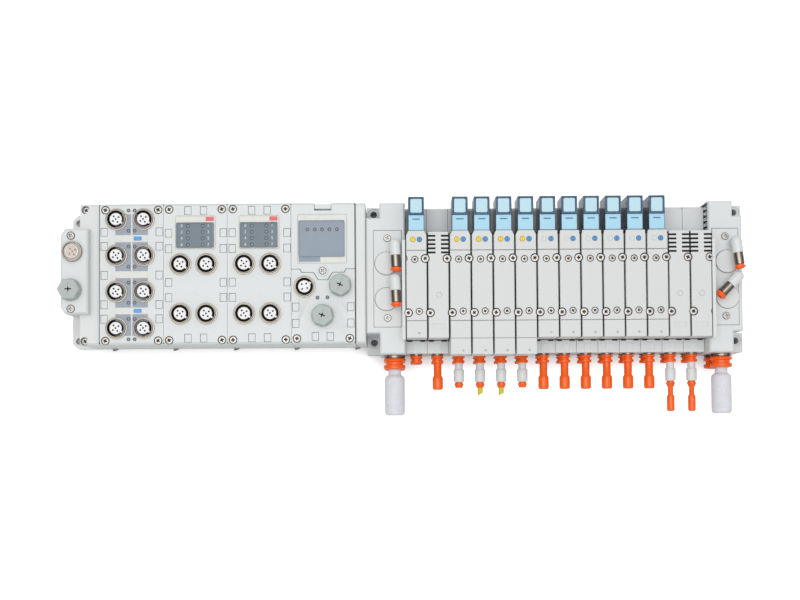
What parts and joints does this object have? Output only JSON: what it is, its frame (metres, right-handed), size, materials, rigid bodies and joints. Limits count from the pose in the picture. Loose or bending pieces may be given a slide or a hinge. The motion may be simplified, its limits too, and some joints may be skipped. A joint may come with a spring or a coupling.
{
  "type": "pneumatic valve island",
  "caption": "Row of plug-in air valves on a tie-rod manifold with push-in tube ports, joined to a block of electrical input and output units.",
  "frame": {"origin": "centre of the four mounting holes in the manifold's end blocks, on the mounting face", "axes": "+Z out of the mounting face towards the valves, +X along the row of valves away from the electrical units, -Y towards the tube ports"},
  "size_m": [0.5164, 0.1598, 0.072],
  "materials": {
    "housing": "fine moulded light grey, slight sheen",
    "valve_grey": "fine moulded warm light grey",
    "blue_cover": "clear tinted blue",
    "override_blue": "glossy blue",
    "override_yellow": "glossy yellow",
    "orange": "glossy orange",
    "white_fitting": "moulded off-white",
    "yellow_tube": "extruded yellow",
    "silencer": "sintered translucent white",
    "nickel": "nickel plated",
    "steel": "zinc plated",
    "gasket": "black",
    "insert": "white contact carrier",
    "cap_grey": "moulded grey",
    "aluminium": "painted light grey",
    "dark": "dark grey"
  },
  "bodies": {
    "island": {"blanking_caps": "cap_grey", "blanking_plates": "valve_grey", "cover_plates": "housing", "elbow_studs": "steel", "end_block_left": "housing", "end_block_right": "housing", "end_plate": "aluminium", "indicator_covers": "blue_cover", "input_unit": "housing", "lower_port_collars": "orange", "main_collars": "orange", "manifold_blocks": "housing", "network_unit": "housing", "output_unit_1": "housing", "output_unit_2": "housing", "pilot_heads": "valve_grey", "port_collars": "orange", "port_plugs": "orange", "power_block": "housing", "power_plug": "nickel", "reducer_rings": "orange", "round_sockets": "nickel", "silencers": "silencer", "small_plugs": "orange", "socket_inserts": "insert", "switch_block": "dark", "switch_hinge_pin": "steel", "tie_rods": "steel", "tube_reducers": "white_fitting", "tube_stubs": "yellow_tube", "valve_adapters": "valve_grey", "valve_bodies": "valve_grey", "valve_end_covers": "valve_grey", "valve_gaskets": "gasket", "valve_plate": "aluminium", "wiring_cover": "housing"},
    "override_01_a": {"override_01_a": "override_yellow"},
    "override_01_b": {"override_01_b": "override_blue"},
    "override_03_a": {"override_03_a": "override_yellow"},
    "override_03_b": {"override_03_b": "override_blue"},
    "override_04_a": {"override_04_a": "override_yellow"},
    "override_04_b": {"override_04_b": "override_blue"},
    "override_05_a": {"override_05_a": "override_yellow"},
    "override_05_b": {"override_05_b": "override_blue"},
    "override_06_a": {"override_06_a": "override_yellow"},
    "override_06_b": {"override_06_b": "override_blue"},
    "override_07_b": {"override_07_b": "override_blue"},
    "override_08_b": {"override_08_b": "override_blue"},
    "override_09_b": {"override_09_b": "override_blue"},
    "override_10_b": {"override_10_b": "override_blue"},
    "override_11_b": {"override_11_b": "override_blue"},
    "override_12_b": {"override_12_b": "override_blue"},
    "elbow_left_rear": {"elbow_left_rear": "white_fitting"},
    "elbow_left_front": {"elbow_left_front": "white_fitting"},
    "elbow_right_rear": {"elbow_right_rear": "white_fitting"},
    "elbow_right_front": {"elbow_right_front": "white_fitting"},
    "switch_cover": {"switch_cover": "housing"}
  },
  "joints": [
    {"name": "override_01_a_press", "type": "slide", "parent": "island", "child": "override_01_a", "axis": [0, 0, -1], "range_m": [0, 0.001], "stiffness_N_per_m": 400, "springref_m": -0.0005},
    {"name": "override_01_b_press", "type": "slide", "parent": "island", "child": "override_01_b", "axis": [0, 0, -1], "range_m": [0, 0.001], "stiffness_N_per_m": 400, "springref_m": -0.0005},
    {"name": "override_03_a_press", "type": "slide", "parent": "island", "child": "override_03_a", "axis": [0, 0, -1], "range_m": [0, 0.001], "stiffness_N_per_m": 400, "springref_m": -0.0005},
    {"name": "override_03_b_press", "type": "slide", "parent": "island", "child": "override_03_b", "axis": [0, 0, -1], "range_m": [0, 0.001], "stiffness_N_per_m": 400, "springref_m": -0.0005},
    {"name": "override_04_a_press", "type": "slide", "parent": "island", "child": "override_04_a", "axis": [0, 0, -1], "range_m": [0, 0.001], "stiffness_N_per_m": 400, "springref_m": -0.0005},
    {"name": "override_04_b_press", "type": "slide", "parent": "island", "child": "override_04_b", "axis": [0, 0, -1], "range_m": [0, 0.001], "stiffness_N_per_m": 400, "springref_m": -0.0005},
    {"name": "override_05_a_press", "type": "slide", "parent": "island", "child": "override_05_a", "axis": [0, 0, -1], "range_m": [0, 0.001], "stiffness_N_per_m": 400, "springref_m": -0.0005},
    {"name": "override_05_b_press", "type": "slide", "parent": "island", "child": "override_05_b", "axis": [0, 0, -1], "range_m": [0, 0.001], "stiffness_N_per_m": 400, "springref_m": -0.0005},
    {"name": "override_06_a_press", "type": "slide", "parent": "island", "child": "override_06_a", "axis": [0, 0, -1], "range_m": [0, 0.001], "stiffness_N_per_m": 400, "springref_m": -0.0005},
    {"name": "override_06_b_press", "type": "slide", "parent": "island", "child": "override_06_b", "axis": [0, 0, -1], "range_m": [0, 0.001], "stiffness_N_per_m": 400, "springref_m": -0.0005},
    {"name": "override_07_b_press", "type": "slide", "parent": "island", "child": "override_07_b", "axis": [0, 0, -1], "range_m": [0, 0.001], "stiffness_N_per_m": 400, "springref_m": -0.0005},
    {"name": "override_08_b_press", "type": "slide", "parent": "island", "child": "override_08_b", "axis": [0, 0, -1], "range_m": [0, 0.001], "stiffness_N_per_m": 400, "springref_m": -0.0005},
    {"name": "override_09_b_press", "type": "slide", "parent": "island", "child": "override_09_b", "axis": [0, 0, -1], "range_m": [0, 0.001], "stiffness_N_per_m": 400, "springref_m": -0.0005},
    {"name": "override_10_b_press", "type": "slide", "parent": "island", "child": "override_10_b", "axis": [0, 0, -1], "range_m": [0, 0.001], "stiffness_N_per_m": 400, "springref_m": -0.0005},
    {"name": "override_11_b_press", "type": "slide", "parent": "island", "child": "override_11_b", "axis": [0, 0, -1], "range_m": [0, 0.001], "stiffness_N_per_m": 400, "springref_m": -0.0005},
    {"name": "override_12_b_press", "type": "slide", "parent": "island", "child": "override_12_b", "axis": [0, 0, -1], "range_m": [0, 0.001], "stiffness_N_per_m": 400, "springref_m": -0.0005},
    {"name": "elbow_left_rear_swivel", "type": "hinge", "parent": "island", "child": "elbow_left_rear", "pos_m": [-0.1223, 0.0204, 0.055], "axis": [0, 0, 1], "range_deg": [-180, 0]},
    {"name": "elbow_left_front_swivel", "type": "hinge", "parent": "island", "child": "elbow_left_front", "pos_m": [-0.1223, -0.0054, 0.055], "axis": [0, 0, 1], "range_deg": [-90, 0]},
    {"name": "elbow_right_rear_swivel", "type": "hinge", "parent": "island", "child": "elbow_right_rear", "pos_m": [0.1281, 0.0206, 0.055], "axis": [0, 0, 1], "range_deg": [0, 170]},
    {"name": "elbow_right_front_swivel", "type": "hinge", "parent": "island", "child": "elbow_right_front", "pos_m": [0.1292, -0.0051, 0.055], "axis": [0, 0, 1], "range_deg": [0, 130]},
    {"name": "switch_cover_hinge", "type": "hinge", "parent": "island", "child": "switch_cover", "pos_m": [-0.1753, 0.0493, 0.0554], "axis": [-1, 0, 0], "range_deg": [0, 100]}
  ]
}
